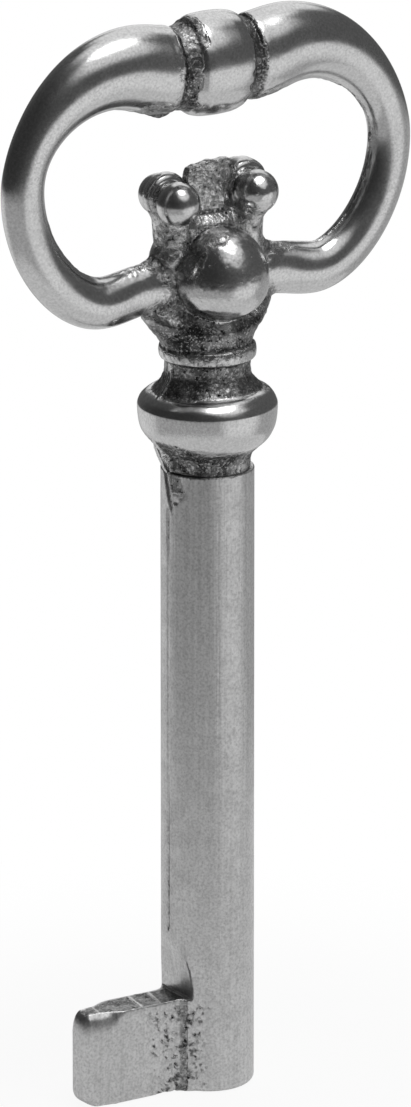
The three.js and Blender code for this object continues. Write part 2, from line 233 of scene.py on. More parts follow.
# The nearest place is looked for at every fourth point first, for so many points at once.
EVERY = 4
AT_ONCE = 50000
ARM_COARSE = ARM_LINE[::EVERY].astype(np.float32)


def along_arm(flat):
    """The nearest place on the middle line for points in the bow's plane: its run, the offset and the slip."""
    near = np.empty(len(flat), int)
    square = (ARM_COARSE**2).sum(1)
    for start in range(0, len(flat), AT_ONCE):
        part = flat[start : start + AT_ONCE].astype(np.float32)
        near[start : start + AT_ONCE] = (square - 2 * part @ ARM_COARSE.T).argmin(1)
    run = ARM_RUN[::EVERY][near]
    for _ in range(3):
        spot = np.stack([np.interp(run, ARM_RUN, ARM_LINE[:, i]) for i in range(2)], axis=1)
        heading = np.stack([np.interp(run, ARM_RUN, ARM_HEADING[:, i]) for i in range(2)], axis=1)
        offset = flat - spot
        slip = (offset * heading).sum(1)
        run = np.clip(run + slip, 0, ARM_RUN[-1])
    side = offset[:, 0] * heading[:, 1] - offset[:, 1] * heading[:, 0]
    return run, side, slip


def bow_arm(p):
    """Both arms as ovals swept along the middle line: distance, share of length, side and half thickness."""
    run, side, slip = along_arm(np.stack([np.abs(p[:, 0]), p[:, 2]], axis=1))
    share = np.clip((run - ARM_START) / ARM_LENGTH, 0, 1)
    swell = (ARM_CROWN_THICK - ARM_SLIM_THICK) * smooth(0, 1, 1 - share / ARM_SLIM_SHARE)
    swell += (ARM_HEAD_THICK - ARM_SLIM_THICK) * smooth(0, 1, (share - ARM_SLIM_SHARE) / (1 - ARM_SLIM_SHARE))
    half = (ARM_SLIM_THICK + swell) / 2
    rounding = np.clip((run - ARM_START) / ARM_END_ROUND, 0, 1)
    half = ARM_END_HALF + (half - ARM_END_HALF) * np.sqrt(rounding * (2 - rounding))
    flattened = 0.22 * smooth(0.88, 0.99, share)
    distance = oval(side, half, p[:, 1], half * (ARM_DEPTH_RATIO - flattened))
    overrun = np.where((run <= 0) | (run >= ARM_RUN[-1]), np.abs(slip), 0)
    return np.maximum(distance, overrun - 0.2), share, side, half


def arms(p):
    """The two arms with the thin mould seam inside the ring and the rough skin on top near the head."""
    distance, share, side, half = bow_arm(p)
    inner = smooth(0.55, 0.9, side / half)
    seam = inner * hump(p[:, 1], 0, 0.22)
    ragged = 1 + 0.7 * noise(p, 1.3, 5)
    at_left_crown = 0.1 * smooth(0.2, 0.05, share) * smooth(0, -3, p[:, 0])
    seam_height = (0.12 + at_left_crown) * ragged * seam
    near_head = smooth(0.93, 0.99, share)
    rough = np.maximum((0.6 - 0.4 * smooth(0.8, 0.9, share)) * seam, 0.45 * inner * near_head)
    rough = np.maximum(rough, 0.6 * inner * smooth(0.12, 0.05, share))
    return distance - seam_height, rough


# The barrel and its crevices: distance along the crown, radius.
BEAD_STATIONS = [
    (-3.6, 2.7), (-3.1, 2.9), (-2.5, 3.02), (-1.95, 3.2), (-1.6, 3.42), (-0.9, 3.57), (0.1, 3.62),
    (1.1, 3.58), (1.8, 3.45), (2.2, 3.27), (2.4, 3.1), (2.9, 2.92), (3.3, 2.75), (3.7, 2.55),
]


def bead(p):
    """The barrel at the crown with the two rough crevices beside it."""
    radius = through(BEAD_STATIONS, p[:, 0])
    z = p[:, 2] - CROWN_Z
    distance = oval(z, radius, p[:, 1], radius * ARM_DEPTH_RATIO)
    distance = np.maximum(distance, np.abs(p[:, 0] - 0.05) - 3.6)
    along = p[:, 0] + (0.25 * noise(p, 0.5, 11) + 0.35 * noise(p, 1.6, 12))
    wider_on_top = 0.75 * smooth(0.2, 3.4, z)
    left_crevice = smooth(-1.8 + wider_on_top, -2.1 + wider_on_top, along)
    # The crevices are drawn rough and darker: partly cast skin, partly painted shade in the crevices.
    return distance, 0.75 * np.maximum(left_crevice, smooth(1.9, 2.2, along))


# The head's neck, web and saddle: height, half width on the left, half width on the right, half depth.
CORE_STATIONS = [
    (52.7, 3.05, 3.05, 2.95), (53.4, 3.25, 3.12, 3.05), (54.2, 3.75, 3.35, 3.12), (54.9, 4.4, 4.0, 3.15),
    (55.5, 4.9, 4.65, 2.8), (56.1, 5.3, 5.1, 2.0), (56.8, 5.4, 5.3, 1.45), (58.0, 5.0, 5.1, 1.0),
    (59.5, 4.4, 4.75, 1.0), (60.2, 4.1, 4.4, 1.1), (61.0, 3.8, 4.05, 1.3), (61.8, 3.7, 3.85, 1.6),
    (62.4, 3.5, 3.5, 1.45), (62.9, 2.9, 2.9, 0.95), (63.2, 2.3, 2.3, 0.6),
]
# The collar's turned profile with its coves and the ring moulding: height, radius.
COLLAR_STATIONS = [
    (44.0, 3.08), (45.2, 3.06), (45.76, 3.18), (46.4, 3.76), (47.15, 4.4), (47.97, 4.74), (48.7, 4.84),
    (49.25, 4.86), (49.7, 4.72), (50.1, 4.38), (50.34, 4.05), (50.4, 3.88), (50.8, 3.52), (51.2, 3.22),
    (51.6, 3.07), (52.0, 3.04), (52.5, 3.06),
    (52.6, 3.2), (52.75, 3.35), (53.15, 3.42), (53.55, 3.36), (53.75, 3.16), (53.9, 3.05), (54.4, 2.9),
]
# The webs of metal squeezed into the mould's joint, under the collar and at the waist: height and reach.
WEB_STATIONS = [
    (43.6, 3.2), (44.6, 3.32), (45.0, 3.55), (45.5, 3.82), (46.2, 4.14), (46.8, 4.36), (47.4, 4.46),
    (48.5, 4.5),
]
WAIST_WEB_STATIONS = [
    (49.8, 4.3), (50.6, 3.9), (51.4, 3.35), (52.05, 3.15), (52.9, 3.2), (53.47, 3.33), (54.3, 3.7),
]
WEB_HALF = 0.16


def web(p, stations):
    """A thin rough fin in the bow's plane, out to its stations on the left and less far on the right."""
    outer = np.abs(p[:, 0]) - through(stations, p[:, 2]) + 0.3 * (p[:, 0] > 0)
    thin = np.abs(p[:, 1]) - WEB_HALF * (1 - 0.25 * smooth(-1, 0, outer))
    ends = np.maximum(stations[0][0] - p[:, 2], p[:, 2] - stations[-1][0])
    distance = np.maximum(np.maximum(outer, thin), ends)
    return distance, 0.6 * smooth(-0.1, -0.3, outer)


def collar(p):
    """The turned collar, its waist and the ring moulding, with the mould webs on its two sides."""
    x, y, z = p.T
    from_axis = np.hypot(x, y)
    around = x / (from_axis + 1e-6)
    lifted = z - 0.12 * around * smooth(49.6, 50.4, z) * smooth(51.4, 50.6, z)
    fine = 0.02
    radius = through(COLLAR_STATIONS, lifted)
    slope = (through(COLLAR_STATIONS, lifted + fine) - radius) / fine
    distance = (from_axis - radius) / np.sqrt(1 + np.minimum(slope**2, 9))
    distance = np.maximum(distance, z - COLLAR_STATIONS[-1][0])
    # At the front of the lower cove the skin is drawn smoother and lighter: partly polish, partly a painted
    # highlight.
    rub_and_sheen = hump(x, 0.9, 0.9) * smooth(45.6, 45.2, z) * (y < 0)
    # The cove's cast skin is drawn dark, and the dark zone reaches higher on the left side as a painted shadow
    # on the bulge.
    lower_cove_and_left_shadow = (0.8 - 0.5 * rub_and_sheen) * smooth(46.9, 46.2, z - 0.75 * smooth(-0.5, -0.95, around))
    # The upper cove's cast skin is drawn dark, reaching lower on the left and right sides as painted shade on
    # the shoulder.
    upper_cove_and_side_shade = 0.7 * smooth(50.35, 50.7, z + 0.3 * smooth(0.5, 0.9, np.abs(around)))
    on_moulding = (z > 52.65) & (z < 53.7)
    rough = np.where(on_moulding, 0.35, np.maximum(lower_cove_and_left_shadow, upper_cove_and_side_shade))
    form = join((distance, rough), web(p, WEB_STATIONS), 0.12)
    # The left web below the collar's middle is drawn smooth and lighter: partly polish, partly a painted
    # highlight along it.
    bright = 0.85 * hump(y, 0.1, 0.26) * (x < 0) * smooth(48.0, 47.2, z)
    form = form[0], form[1] * (1 - bright)
    return join(form, web(p, WAIST_WEB_STATIONS), 0.15)


# The leaf: height, half width.
LEAF_STATIONS = [(61.5, 0.95), (62.6, 1.0), (63.8, 1.3), (65.0, 1.75), (65.9, 2.05), (66.6, 2.1)]
LEAF_FOOT, LEAF_TOP = LEAF_STATIONS[0][0], LEAF_STATIONS[-1][0]


def leaf(p):
    """The fan-shaped leaf between the stems, with a ragged cast edge."""
    x, y, z = p.T
    half = through(LEAF_STATIONS, z)
    spread = p * [1, 0.3, 0.3]
    ragged = 0.1 * noise(spread, 0.4, 21) + 0.08 * noise(spread, 0.9, 22)
    top = LEAF_TOP - 0.05 * (x - 0.7) ** 2 - 0.9 * smooth(half - 0.5, half + 0.1, np.abs(x)) + ragged
    face = np.abs(y) - (0.48 - 0.1 * smooth(64.2, 66.4, z))
    edge = np.maximum(np.abs(x) - half, (z - top) * 0.8)
    return np.maximum(rounded(face, edge, 0.18), LEAF_FOOT - z), np.full(len(p), 0.42)


STEM_FOOT_Z = 60.6
BALL_Z = 64.3


def scroll(p, side, foot, back, lift):
    """One leaning stem, the scroll rolled at its top, and a polished ball on each of the scroll's two faces.

    The stem stands foot millimetres from the axis, and the scroll reaches back and lifts towards its rear.
    """
    x, y, z = p.T
    form = rod(p, (side * foot, 0, STEM_FOOT_Z), 1.2, (side * 3.0, 0, 63.4), 1.3, 0.36, depth=1.3)
    tapered = 1.84 - 0.14 * (y + 0.7)
    radial = np.hypot(x - side * 3.2, z - BALL_Z - 0.05 - lift * (y + 0.8)) - tapered
    rolled = rounded(radial, np.abs(y - (back / 2 - 0.1)) - (back / 2 + 0.15), 0.55)
    patches = 0.25 * smooth(-0.2, 0.1, noise(p, 0.8, 26))
    form = join(form, (rolled, np.maximum(patches, 0.5 * smooth(63.9, 63.4, z))), 0.5)
    front = (side * 3.18 - 0.06, -1.36, BALL_Z - 0.12)
    if side > 0:
        form = join(form, rod(p, (2.65, -1.0, 62.3), 0.85, front, 1.3, 0.5), 0.45)
    fillet, reach = (0.1, 0.1) if side < 0 else (0.4, 0.3)
    form = join(form, ball(p, front, 1.54), fillet, crease=0.45, reach=reach)
    behind = (side * 3.24, back, BALL_Z + 2 * lift)
    return join(form, ball(p, behind, 1.46), 0.14, crease=0.3, reach=0.1)


def stems(p):
    """The two stems that lean out of the head."""
    left = scroll(p, -1, foot=2.75, back=1.05, lift=0.03)
    return join(left, scroll(p, 1, foot=2.85, back=1.3, lift=0.13), 0.05)


# The domes: middle in the bow's plane, then (side, offset to the front or back, radius) for each.
DOME_X, DOME_Z = -0.12, 58.55
DOMES = ((-1, 2.05, 3.28), (1, 1.9, 3.0))
CORE_TOP = 63.0


def with_dome(form, p, side, offset, radius):
    """A form with one egg-shaped dome, its rough crescent at the upper left and the thin lip under it."""
    away = (p - np.array([DOME_X, side * offset, DOME_Z])) / radius
    away[:, 2] *= np.where(away[:, 2] > 0, 0.86, 1.16)
    distance = (np.linalg.norm(away, axis=1) - 1) * radius
    crescent = away @ np.array([-0.62, 0, 0.78]) + 0.16 * noise(p, 0.7, 31) + 0.12 * noise(p, 0.3, 32)
    rough = np.maximum(0.17, 0.6 * smooth(0.8, 0.98, crescent))
    lip = 0.12 * hump(distance - form[0], 0, 0.3) * smooth(-0.2, -0.7, away[:, 2])
    form = join(form, (distance, rough), 0.2, crease=1.0, reach=0.16)
    return form[0] - lip * (1 + noise(p, 0.8, 33)), form[1]


def head(p):
    """Neck, web, saddle, the two domes, the stems with their balls, and the leaf."""
    x, y, z = p.T
    half_x = np.where(x < 0, through(CORE_STATIONS, z, 1), through(CORE_STATIONS, z, 2))
    distance = oval(x, half_x, y, through(CORE_STATIONS, z, 3))
    distance = np.maximum(distance, np.maximum(CORE_STATIONS[0][0] - z, z - CORE_TOP))
    # The neck under the head is drawn rough and darker: partly its cast skin, partly painted shade under the
    # head. Its middle front is kept lighter as a painted highlight.
    neck = smooth(56.0, 55.2, z)
    painted_highlight_patch = 0.6 * (hump(x, -0.2, 0.8) * (y < 0))
    rough = 0.36 + 0.24 * smooth(-0.2, 0.2, noise(p, 1.4, 34)) + (0.5 - painted_highlight_patch) * neck
    form = join((distance, rough), stems(p), 0.9)
    form = join(form, leaf(p), 0.12, crease=0.9, reach=0.25)
    for dome in DOMES:
        form = with_dome(form, p, *dome)
    return form


def upper_casting(p):
    """Bow, bead, head and collar as one casting, which is parted afterwards."""
    x, z = p[:, 0], p[:, 2]
    form = join(arms(p), bead(p), 0.14, crease=0.9, reach=0.3)
    over_arms = (1.2 - 0.15 * np.sign(x)) * smooth(58.3, 60.0, z) * smooth(64.5, 62.5, z)
    form = join(form, head(p), 0.35 + over_arms, crease=0.7, reach=0.45)
    return join(form, collar(p), 0.1, crease=0.9, reach=0.2)


# The tip and its bore, the cutter that milled the scallop, and the bit with its bevel, in millimetres.
TIP_ROUND = 0.5
BORE_RADIUS = 1.5
BORE_DEPTH = 20.0
CUTTER_RADIUS = 10.9
CUTTER_X = 0.76 - SHANK_RADIUS - CUTTER_RADIUS
BIT_HALF = 1.35
BIT_BEND = -8.3
NOSE_ANGLE = math.atan2(0.3, 2.2)
NOSE_ROUND = 0.62
BEVEL_START, BEVEL_FULL = -7.4, -9.0
CHAMFER_ANGLE = math.radians(17)
FACING_LINES = (-9.3, -6.0, -4.4)


def bit(p):
    """The flat bit: its faceted nose, rounded corners, faced top and the bevel ground round its top edge."""
    x, y, z = p.T
    flat = np.abs(y) - BIT_HALF
    facet = flat * math.cos(NOSE_ANGLE) + (BIT_BEND - x) * math.sin(NOSE_ANGLE)
    end = BIT_END + 0.12 - x
    face = common(flat, facet, 0.12)
    side = np.maximum(rounded(end, BIT_FOOT - z, 1.05), rounded(end, z - BIT_TOP, 0.9))
    soft = 0.22 - 0.19 * smooth(5.6, 6.2, z)
    soft = np.maximum(soft, NOSE_ROUND * smooth(BIT_END + 1.4, BIT_END + 0.5, x))
    body = rounded(face, side, soft)
    nose = smooth(-7.8, -9.2, x)
    within = rounded(face, end, NOSE_ROUND) + (0.035 + 0.29 * smooth(BEVEL_START, BEVEL_FULL, x))
    chamfer = within * math.cos(CHAMFER_ANGLE) + (z - BIT_TOP) * math.sin(CHAMFER_ANGLE)
    bevel = 0.79 * within + 0.62 * (z - BIT_TOP) + 0.15 * nose
    form = common(rounded(body, chamfer, 0.09 + 0.06 * nose), bevel, 0.05)
    # A faint raised rib in the shape itself at the bend, which catches a light line.
    rub_and_sheen = 0.03 * hump(x, BIT_BEND, 0.2)
    return np.maximum(form - rub_and_sheen, x + 1.0)


def round_shank(p):
    """The shank without its cuts: rounded tip, sharp rim, the mould seam and the leaning flash near its top."""
    x, y, z = p.T
    seam = hump(y, 0, 0.12) * (np.abs(x) > 2.5) * smooth(11.4, 12.0, z)
    seam = seam * np.minimum(smooth(38, 42, z) + smooth(24, 12, z) + 0.35, 1)
    near_top = smooth(41.6, 42.8, z) * (x < -2)
    flash = y - 0.55 + 0.29 * (SHANK_TOP - z)
    ridge_and_groove = 0.1 * hump(flash, -0.26, 0.1) - 0.09 * hump(flash, 0, 0.11)
    wall = np.hypot(x, y) - SHANK_RADIUS + (0.09 * seam * (1 - near_top) + near_top * ridge_and_groove)
    rim = (wall + z - SHANK_TOP + 0.06) / math.sqrt(2)
    distance = np.maximum(np.maximum(rounded(wall, -z, TIP_ROUND), z - SHANK_TOP), rim)
    beside_flash = smooth(-0.5, -0.7, flash) * smooth(-2.1, -1.4, flash) * smooth(-2.2, -2.6, x)
    rough = 0.6 * beside_flash * smooth(1.0, 0.2, (SHANK_TOP - z) / 1.9 + 0.6 * noise(p, 0.4, 42))
    grooved = np.where(near_top > 0.5, hump(flash, -0.26, 0.09), seam)
    return distance, np.maximum(rough, 0.7 * grooved)


def root_pits(p):
    """How rough the root of the bit is: a cast band where it meets the shank, and pits on both sides of it."""
    x, _, z = p.T
    turned = p + 0.6 * p[:, [1, 2, 0]]
    spots = 0.35 * noise(turned, 1.3, 44) + 0.4 * noise(turned, 0.3, 43) + 0.25 * noise(turned, 0.18, 45)
    pitted = hump(x, -3.8, 1.8) * (0.3 + 0.6 * smooth(0.02, 0.25, spots))
    return np.maximum(0.55 * hump(x, -3.0, 0.3, 4), pitted) * (z < BIT_TOP - 0.06)


def lower_part(p):
    """The drilled shank with its milled scallop, and the bit with its filleted root and its faced top."""
    x, y, z = p.T
    distance, rough = join(round_shank(p), (bit(p), np.zeros(len(p))), 0.75)
    rough = np.maximum(rough, root_pits(p))
    narrowed = 0.46 * smooth(BEVEL_START, BEVEL_FULL, x)
    narrowed += np.maximum(BIT_BEND - x, 0) * math.tan(NOSE_ANGLE)
    inside = (x < -2.7) & (x > BIT_END + 0.45) & (np.abs(y) < BIT_HALF - 0.13 - narrowed)
    # The bit's faced top is drawn matte and darker: partly its faced finish, partly painted shade on the top.
    # The facing lines stay light.
    faced = (np.abs(z - BIT_TOP + 0.06) < 0.13) & inside
    lines = sum(hump(x - 0.17 * y, place, 0.12) for place in FACING_LINES)
    rough = np.where(faced, 0.62 * (1 - np.minimum(lines, 1)), rough)
    distance = distance - 0.015 * lines * faced
    scallop = np.minimum(CUTTER_RADIUS - np.hypot(x - CUTTER_X, z - BIT_TOP), z - BIT_TOP)
    bore = np.minimum(BORE_RADIUS - np.hypot(x, y), BORE_DEPTH - z)
    return common(common(distance, scallop, 0.1), bore, 0.12), rough


# ---- From forms to meshes ----

# How many points are worked out at once, and the cells on each side of a block: only blocks near the skin are
# looked at closely.
PART = 120000
BLOCK = 6


def slope_of(form, p, step):
    """The gradient of a form's distance at each point."""
    out = np.empty_like(p)
    for axis in range(3):
        shift = np.zeros(3)
        shift[axis] = step
        out[:, axis] = (form(p + shift)[0] - form(p - shift)[0]) / (2 * step)
    return out


def in_parts(form, p):
    """A form's distance and roughness over many points, a part at a time."""
    both = [form(p[i : i + PART]) for i in range(0, len(p), PART)]
    return np.concatenate([b[0] for b in both]), np.concatenate([b[1] for b in both])


def skin(form, low, high, cell):
    """Points and four-sided faces of a form's skin inside a box, on a lattice that all pieces share."""
    cell = np.array(cell, float)
    first = np.floor(np.array(low) / cell / BLOCK).astype(int)
    last = np.ceil(np.array(high) / cell / BLOCK).astype(int)
    blocks = last - first
    near = np.stack(np.meshgrid(*[np.arange(n) for n in blocks], indexing="ij"), -1).reshape(-1, 3)
    middle = ((near + first) * BLOCK + BLOCK / 2) * cell
    distance = in_parts(form, middle)[0]
    field = np.repeat(np.repeat(np.repeat(distance.reshape(blocks), BLOCK, 0), BLOCK, 1), BLOCK, 2)
    close = near[np.abs(distance) < 1.5 * np.linalg.norm(cell) * BLOCK / 2 + 0.35]
    inner = np.stack(np.meshgrid(*[np.arange(BLOCK)] * 3, indexing="ij"), -1).reshape(-1, 3)
    spots = (close[:, None] * BLOCK + inner[None]).reshape(-1, 3)
    field[tuple(spots.T)] = in_parts(form, (spots + first * BLOCK) * cell)[0]
    inside = field < 0
    size = np.array(field.shape) - 1
    corners = [np.array([i & 1, (i >> 1) & 1, (i >> 2) & 1]) for i in range(8)]

    def at(array, corner):
        return array[tuple(slice(c, c + n) for c, n in zip(corner, size))]

    count = sum(at(inside, c).astype(np.int8) for c in corners)
    cells = np.argwhere((count > 0) & (count < 8))
    total, crossings = np.zeros((len(cells), 3)), np.zeros(len(cells))
    for axis in range(3):
        step = np.eye(3, dtype=int)[axis]
        for c in corners:
            if c[axis]:
                continue
            a, b = field[tuple((cells + c).T)], field[tuple((cells + c + step).T)]
            crossed = (a < 0) != (b < 0)
            t = np.where(crossed, a / np.where(crossed, a - b, 1), 0)
            total += crossed[:, None] * (c + t[:, None] * step)
            crossings += crossed
    points = (cells + total / crossings[:, None] + first * BLOCK) * cell
    index = np.full(size, -1)
    index[tuple(cells.T)] = np.arange(len(cells))
    faces = []
    for axis in range(3):
        step = np.eye(3, dtype=int)[axis]
        one, two = np.eye(3, dtype=int)[(axis + 1) % 3], np.eye(3, dtype=int)[(axis + 2) % 3]
        a = inside[tuple(slice(0, n) for n in size)]
        b = inside[tuple(slice(s, s + n) for s, n in zip(step, size))]
        edges = np.argwhere(a != b)
        edges = edges[(edges[:, (axis + 1) % 3] > 0) & (edges[:, (axis + 2) % 3] > 0)]
        quad = np.stack([index[tuple((edges - s).T)] for s in (0 * one, one, one + two, two)], axis=1)
        outward = inside[tuple(edges.T)]
        quad[outward] = quad[outward][:, ::-1]
        faces.append(quad[:, ::-1])
    return points, np.concatenate(faces)


def relief(p, rough):
    """How far the skin stands below its form: cast grain and pits where it is rough, faint waves elsewhere."""
    grain = (1 + noise(p, 0.4, 51)) * 0.04 + (1 + noise(p, 0.22, 52)) * 0.03
    swell = 0.03 * (1 + noise(p, 1.1, 53))
    waves = 0.004 * (1 + noise(p, 1.7, 54)) + 0.0012 * (1 + noise(p, 0.5, 55))
    return waves + rough * (grain + swell)


def dressed(form):
    """A form with its relief taken off."""

    def inner(p):
        distance, rough = form(p)
        return distance + relief(p, rough), rough

    return inner


def cut(mesh, planes):
    """A mesh cut at its planes and capped: which points lie on a rim, and the numbers of the cap faces."""
    work = bmesh.new()
    work.from_mesh(mesh)
    for where, direction, region in planes:
        chosen = work.verts[:] + work.edges[:] + work.faces[:]
        if region is not None:
            inside = [f for f in work.faces if region(f.calc_center_median())]
            edges = dict.fromkeys(e for f in inside for e in f.edges)
            verts = dict.fromkeys(v for f in inside for v in f.verts)
            chosen = [*inside, *edges, *verts]
        bmesh.ops.bisect_plane(
            work, geom=chosen, dist=1e-5, plane_co=where, plane_no=direction, clear_outer=True
        )
    loose = [v for v in work.verts if not v.link_faces]
    bmesh.ops.delete(work, geom=loose, context="VERTS")
    rims = [e for e in work.edges if e.is_boundary]
    work.verts.index_update()
    on_rim = np.zeros(len(work.verts), bool)
    for edge in rims:
        for vert in edge.verts:
            on_rim[vert.index] = True
    caps = bmesh.ops.holes_fill(work, edges=rims, sides=0)["faces"] if rims else []
    work.faces.index_update()
    cap_faces = {f.index for f in caps}
    work.to_mesh(mesh)
    work.free()
    return on_rim, cap_faces


def settled(p, form, reach):
    """Points moved onto a form's skin, each by no more than reach."""
    slope = slope_of(form, p, 0.02)
    move = -form(p)[0][:, None] * slope / np.maximum((slope**2).sum(1), 0.2)[:, None]
    length = np.linalg.norm(move, axis=1)[:, None]
    return p + move * np.minimum(1, reach / np.maximum(length, 1e-9))


def set_normals(mesh, normals, cap_faces):
    """The form's own normals at every corner, apart from the flat caps."""
    corner_points = np.empty(len(mesh.loops), int)
    mesh.loops.foreach_get("vertex_index", corner_points)
    corner_normals = normals[corner_points]
    for polygon in mesh.polygons:
        if polygon.index in cap_faces:
            for loop in polygon.loop_indices:
                corner_normals[loop] = polygon.normal
    mesh.normals_split_custom_set(corner_normals.tolist())


def make_piece(name, form, low, high, cell, planes):
    """A closed mesh of a form between cutting planes, with the form's own normals and its roughness."""
    points, faces = skin(form, low, high, cell)
    mesh = bpy.data.meshes.new(name)
    mesh.from_pydata(points.tolist(), [], faces.tolist())
    on_rim, cap_faces = cut(mesh, planes)

    p = np.empty(len(mesh.vertices) * 3)
    mesh.vertices.foreach_get("co", p)
    p = p.reshape(-1, 3)
    as_cut = p.copy()
    finished = dressed(form)
    for form_now in (form, form, finished):
        p = settled(p, form_now, max(cell) * 0.8)
    for where, direction, region in planes:
        where, direction = np.array(where), np.array(direction, float)
        on_plane = on_rim & (np.abs((as_cut - where) @ direction) < 1e-4)
        p[on_plane] -= ((p[on_plane] - where) @ direction)[:, None] * direction
    normals = slope_of(finished, p, 0.03)
    normals /= np.maximum(np.linalg.norm(normals, axis=1), 1e-9)[:, None]
    rough = finished(p)[1]
    mesh.vertices.foreach_set("co", (p * MM).ravel())
    mesh.attributes.new("rough", "FLOAT", "POINT").data.foreach_set("value", rough.astype(np.float32))
    mesh.polygons.foreach_set("use_smooth", np.ones(len(mesh.polygons), bool))
    mesh.update()
    set_normals(mesh, normals, cap_faces)
    mesh.validate()
    piece = bpy.data.objects.new(name, mesh)
    bpy.context.scene.collection.objects.link(piece)
    return piece


# ---- Finishes ----


def add(tree, kind, place, values=(), **settings):
    """A node with some of its inputs set by name."""
    node = tree.nodes.new(kind)
    node.location = place
    for key, value in settings.items():
        setattr(node, key, value)
    for key, value in dict(values).items():
        node.inputs[key].default_value = value
    return node


def maths(tree, operation, place, a, b=None, clamp=False):
    """A Math node fed by sockets or numbers, and its output."""
    node = add(tree, "ShaderNodeMath", place, operation=operation, use_clamp=clamp)
    for socket, value in zip(node.inputs, (a, b)):
        if value is None:
            continue
        if isinstance(value, (int, float)):
            socket.default_value = value
        else:
            tree.links.new(value, socket)
    return node.outputs[0]


def ranged(tree, place, value, low, high, to_low=0.0, to_high=1.0):
    """A smooth Map Range from one span to another."""
    spans = {"From Min": low, "From Max": high, "To Min": to_low, "To Max": to_high}
    node = add(tree, "ShaderNodeMapRange", place, spans, interpolation_type="SMOOTHSTEP")
    tree.links.new(value, node.inputs["Value"])
    return node.outputs["Result"]


# The scale of the cast grain, and the colours of clean steel and of steel darkened by cast skin, pits and
# painted shade.
GRAIN = 2600.0
BRIGHT_STEEL = (0.68, 0.68, 0.68, 1)
DARK_STEEL = (0.03, 0.03, 0.03, 1)


def metal_skin_group():
    """Cast grain, pits and fine wear over steel, with painted shade in the rough cast skin and painted glints
    on its grain tips: its inputs say how rough the metal is, how much wear it has and how polished it is.
    """
    group = bpy.data.node_groups.new("steel_skin", "ShaderNodeTree")
    face = group.interface
    for name, value in (("Cast", 0.0), ("Wear", 0.5), ("Polish", 0.2)):
        face.new_socket(name=name, in_out="INPUT", socket_type="NodeSocketFloat").default_value = value
    for name, kind in (("Color", "Color"), ("Roughness", "Float"), ("Height", "Float")):
        face.new_socket(name=name, in_out="OUTPUT", socket_type="NodeSocket" + kind)
    start, end = add(group, "NodeGroupInput", (-1200, 0)), add(group, "NodeGroupOutput", (1400, 0))
    cast, wear = start.outputs["Cast"], start.outputs["Wear"]
    link = group.links.new
    where = add(group, "ShaderNodeTexCoord", (-1200, -300)).outputs["Object"]

    def speckle(scale, place, detail):
        node = add(group, "ShaderNodeTexNoise", place, {"Scale": scale, "Detail": detail, "Roughness": 0.6})
        link(where, node.inputs["Vector"])
        return node.outputs["Fac"]

    def times(place, a, b):
        return maths(group, "MULTIPLY", place, a, b)

    def plus(place, a, b, clamp=False):
        return maths(group, "ADD", place, a, b, clamp)

    def centred(place, a):
        return maths(group, "SUBTRACT", place, a, 0.5)

    grain = speckle(GRAIN, (-900, 300), 3.0)
    blotch = speckle(0.28 * GRAIN, (-900, 50), 2.0)
    tiny = speckle(2.2 * GRAIN, (-900, -200), 2.0)
    pits = ranged(group, (-650, 300), grain, 0.60, 0.72)
    clouds = ranged(group, (-650, 50), blotch, 0.35, 0.65)
    # Grain tips drawn lighter: partly polished tips, partly painted glints.
    polished_tips_and_glints = ranged(group, (-650, -200), tiny, 0.5, 0.64)
    ragged = plus((-350, 150), cast, times((-450, 200), centred((-550, 200), grain), 0.9))
    some = ranged(group, (-200, 0), cast, 0.0, 0.15)
    casted = times((-50, 100), ranged(group, (-200, 150), ragged, 0.25, 0.6), some)
    depth = plus((50, 250), times((-50, 250), casted, 0.9), times((-50, 400), wear, 0.25))
    pitted = maths(group, "MULTIPLY", (150, 300), pits, depth, True)
    # Rough cast skin drawn darker: partly its own dull skin, partly painted shade in its grain.
    cast_tone_and_shade = plus((-50, -280), times((-150, -280), cast, 0.6), 0.16)
    cast_tone_and_shade = plus((50, -80), times((-50, -80), clouds, 0.25), cast_tone_and_shade)
    cast_tone_and_shade = maths(group, "SUBTRACT", (150, -80), cast_tone_and_shade, times((50, -200), polished_tips_and_glints, 0.6))
    shade = plus((350, 100), times((250, 200), pitted, 0.5), times((250, 0), casted, cast_tone_and_shade), True)
    mottle = times((250, -240), times((150, -240), centred((50, -320), tiny), 2.0), wear)
    shade = plus((550, 100), shade, plus((450, -240), mottle, 0.12), True)
    colour = add(group, "ShaderNodeMix", (750, 300), data_type="RGBA")
    link(shade, colour.inputs["Factor"])
    colour.inputs[6].default_value = BRIGHT_STEEL
    colour.inputs[7].default_value = DARK_STEEL
    link(colour.outputs[2], end.inputs["Color"])
    rough = plus((650, 0), start.outputs["Polish"], times((550, 0), casted, 0.16))
    patches = times((750, -100), centred((550, -100), clouds), times((650, -160), wear, 0.14))
    rough = plus((850, 0), rough, patches)
    rough = plus((1050, 0), rough, times((950, -60), pitted, 0.15), True)
    link(rough, end.inputs["Roughness"])
    height = maths(group, "SUBTRACT", (550, -400), grain, pitted)
    height = times((750, -400), height, plus((650, -480), casted, times((550, -560), wear, 0.06)))
    height = plus((950, -400), height, times((850, -480), tiny, times((750, -560), wear, 0.09)))
    link(height, end.inputs["Height"])
    return group


STEEL_SKIN = metal_skin_group()


